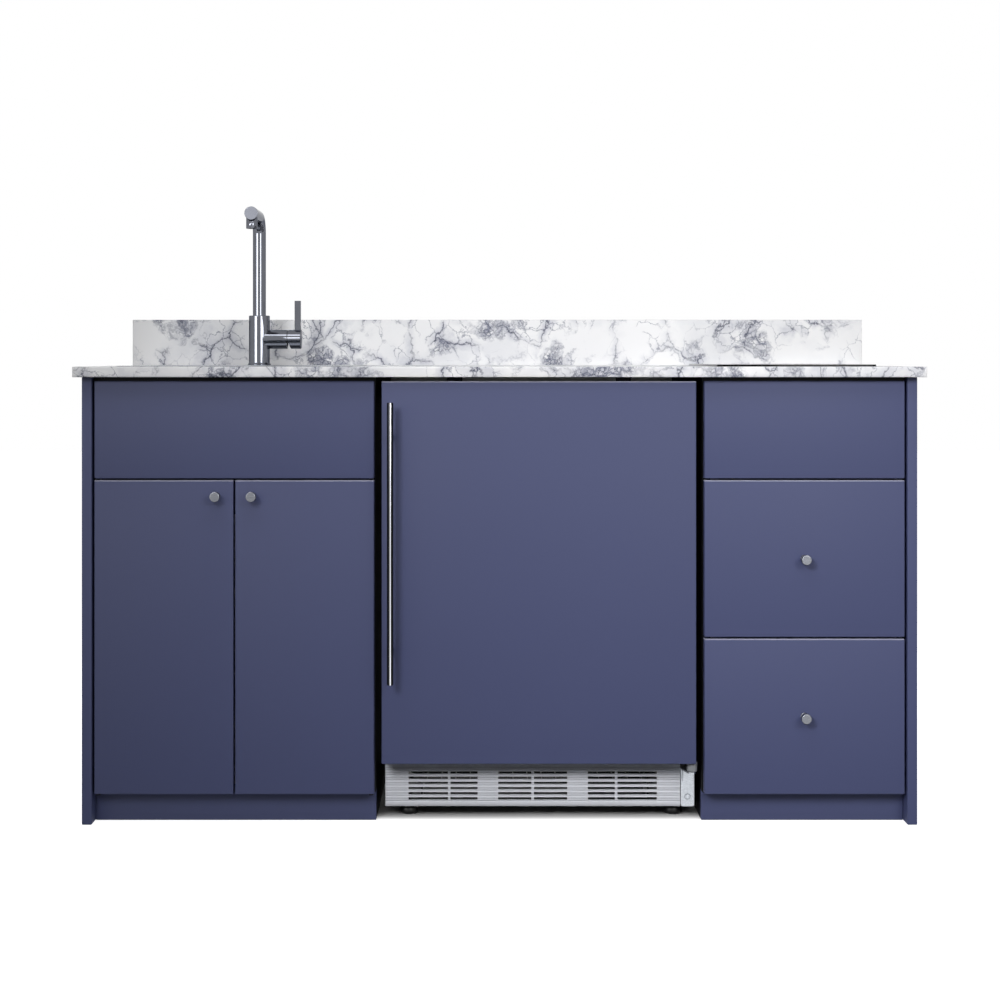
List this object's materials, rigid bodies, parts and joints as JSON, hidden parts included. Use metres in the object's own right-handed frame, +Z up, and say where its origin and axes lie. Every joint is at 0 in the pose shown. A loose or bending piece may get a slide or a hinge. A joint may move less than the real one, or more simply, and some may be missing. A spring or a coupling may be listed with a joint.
{
  "type": "kitchenette unit",
  "caption": "Kitchenette: sink cabinet, panelled under-counter refrigerator and drawer cabinet under a marble-look worktop with backsplash, side-lever tap and flush black hob.",
  "frame": {"origin": "on the floor below the middle of the whole unit", "axes": "X to the viewer's right along the front, Y from the front to the wall, Z up"},
  "size_m": [1.625, 0.664, 1.2107],
  "materials": {
    "stone": "polished marble-look slab, white with grey veins",
    "painted_board": "dark slate-blue lacquer on board, satin",
    "carcass_board": "white melamine-faced board",
    "drawer_wood": "clear-lacquered birch",
    "brushed_nickel": "brushed nickel",
    "zinc_steel": "zinc-plated steel",
    "sink_steel": "brushed stainless steel",
    "trap_plastic": "white polypropylene",
    "tap_metal": "brushed nickel plate",
    "brass": "plain brass and copper",
    "carrier_plastic": "ivory acetal",
    "hob_glass": "black ceramic glass, polished",
    "hob_sheet": "galvanised sheet",
    "heater_insulation": "pressed mineral insulation",
    "fridge_shell": "light grey coated foam sandwich",
    "fridge_lining": "white moulded plastic",
    "grille_plastic": "light grey moulded plastic",
    "feet_plastic": "black plastic",
    "bush_plastic": "grey acetal",
    "gasket_rubber": "light grey magnetic seal",
    "bin_plastic": "clear-tinted moulded plastic",
    "shelf_glass": "toughened glass with plastic trim",
    "compressor_enamel": "black enamel"
  },
  "bodies": {
    "unit": {"worktop": "stone", "backsplash": "stone", "end_panel_left": "painted_board", "end_panel_right": "painted_board", "sink_cabinet_sides": "carcass_board", "drawer_cabinet_sides": "carcass_board", "cabinet_floors": "carcass_board", "cabinet_backs": "carcass_board", "cabinet_rails": "carcass_board", "toe_kicks": "painted_board", "sink_false_front": "painted_board", "drawer_false_front": "painted_board", "false_front_clips": "zinc_steel", "door_pivot_leaves": "zinc_steel", "runner_cabinet_members": "zinc_steel", "sink_bowl": "sink_steel", "strainer_body": "sink_steel", "waste_trap": "trap_plastic", "tap_body": "tap_metal", "tap_shank": "brass", "hob_glass": "hob_glass", "hob_case": "hob_sheet", "hob_elements": "heater_insulation", "fridge_cabinet": "fridge_shell", "fridge_liner": "fridge_lining", "kick_grille": "grille_plastic", "fridge_feet": "feet_plastic", "fridge_hinge_lower": "zinc_steel", "fridge_top_brackets": "zinc_steel", "fridge_shelves": "shelf_glass", "fridge_crisper": "bin_plastic", "compressor": "compressor_enamel", "condenser": "compressor_enamel", "thermostat_housing": "fridge_lining"},
    "sink_door_left": {"sink_door_left": "painted_board", "sink_door_left_knob": "brushed_nickel"},
    "sink_door_right": {"sink_door_right": "painted_board", "sink_door_right_knob": "brushed_nickel"},
    "runners_upper": {"runner_middle_upper": "zinc_steel"},
    "runners_lower": {"runner_middle_lower": "zinc_steel"},
    "drawer_upper": {"drawer_upper_front": "painted_board", "drawer_upper_box": "drawer_wood", "drawer_upper_knob": "brushed_nickel", "drawer_upper_runners": "zinc_steel"},
    "drawer_lower": {"drawer_lower_front": "painted_board", "drawer_lower_box": "drawer_wood", "drawer_lower_knob": "brushed_nickel", "drawer_lower_runners": "zinc_steel"},
    "strainer_basket": {"strainer_basket": "sink_steel"},
    "spout": {"tap_spout": "tap_metal"},
    "mixer_carrier": {"mixer_carrier": "carrier_plastic"},
    "mixer_lever": {"mixer_lever": "tap_metal"},
    "fridge_door": {"fridge_door_panel": "painted_board", "fridge_door_shell": "fridge_shell", "fridge_door_liner": "fridge_lining", "fridge_gasket": "gasket_rubber", "fridge_hinge_bush": "bush_plastic", "fridge_door_bins": "bin_plastic", "fridge_handle": "brushed_nickel"},
    "thermostat_dial": {"thermostat_dial": "fridge_lining"}
  },
  "joints": [
    {"name": "sink_door_left_hinge", "type": "hinge", "parent": "unit", "child": "sink_door_left", "pos_m": [-0.7693, -0.2715, 0.359], "axis": [0, 0, -1], "range_deg": [0, 100]},
    {"name": "sink_door_right_hinge", "type": "hinge", "parent": "unit", "child": "sink_door_right", "pos_m": [-0.246, -0.2715, 0.359], "axis": [0, 0, 1], "range_deg": [0, 100]},
    {"name": "drawer_upper_slide", "type": "slide", "parent": "unit", "child": "drawer_upper", "axis": [0, -1, 0], "range_m": [0, 0.45]},
    {"name": "runners_upper_slide", "type": "slide", "parent": "unit", "child": "runners_upper", "axis": [0, -1, 0], "range_m": [0, 0.225]},
    {"name": "drawer_lower_slide", "type": "slide", "parent": "unit", "child": "drawer_lower", "axis": [0, -1, 0], "range_m": [0, 0.45]},
    {"name": "runners_lower_slide", "type": "slide", "parent": "unit", "child": "runners_lower", "axis": [0, -1, 0], "range_m": [0, 0.225]},
    {"name": "fridge_door_hinge", "type": "hinge", "parent": "unit", "child": "fridge_door", "pos_m": [0.369, -0.271, 0.48], "axis": [0, 0, 1], "range_deg": [0, 90]},
    {"name": "spout_swivel", "type": "hinge", "parent": "unit", "child": "spout", "pos_m": [-0.515, 0.187, 1], "axis": [0, 0, 1], "range_deg": [-80, 80]},
    {"name": "mixer_turn", "type": "hinge", "parent": "unit", "child": "mixer_carrier", "pos_m": [-0.4615, 0.187, 0.9337], "axis": [1, 0, 0], "range_deg": [-45, 45]},
    {"name": "mixer_tilt", "type": "hinge", "parent": "mixer_carrier", "child": "mixer_lever", "pos_m": [-0.4615, 0.187, 0.9337], "axis": [0, 1, 0], "range_deg": [0, 14]},
    {"name": "strainer_lift", "type": "slide", "parent": "unit", "child": "strainer_basket", "axis": [0, 0, 1], "range_m": [0, 0.12]},
    {"name": "thermostat_turn", "type": "hinge", "parent": "unit", "child": "thermostat_dial", "pos_m": [0.3, -0.0967, 0.72], "axis": [1, 0, 0], "range_deg": [0, 270]}
  ],
  "couplings": [
    {"joint": "runners_upper_slide", "follows": "drawer_upper_slide", "ratio": 0.5},
    {"joint": "runners_lower_slide", "follows": "drawer_lower_slide", "ratio": 0.5}
  ]
}
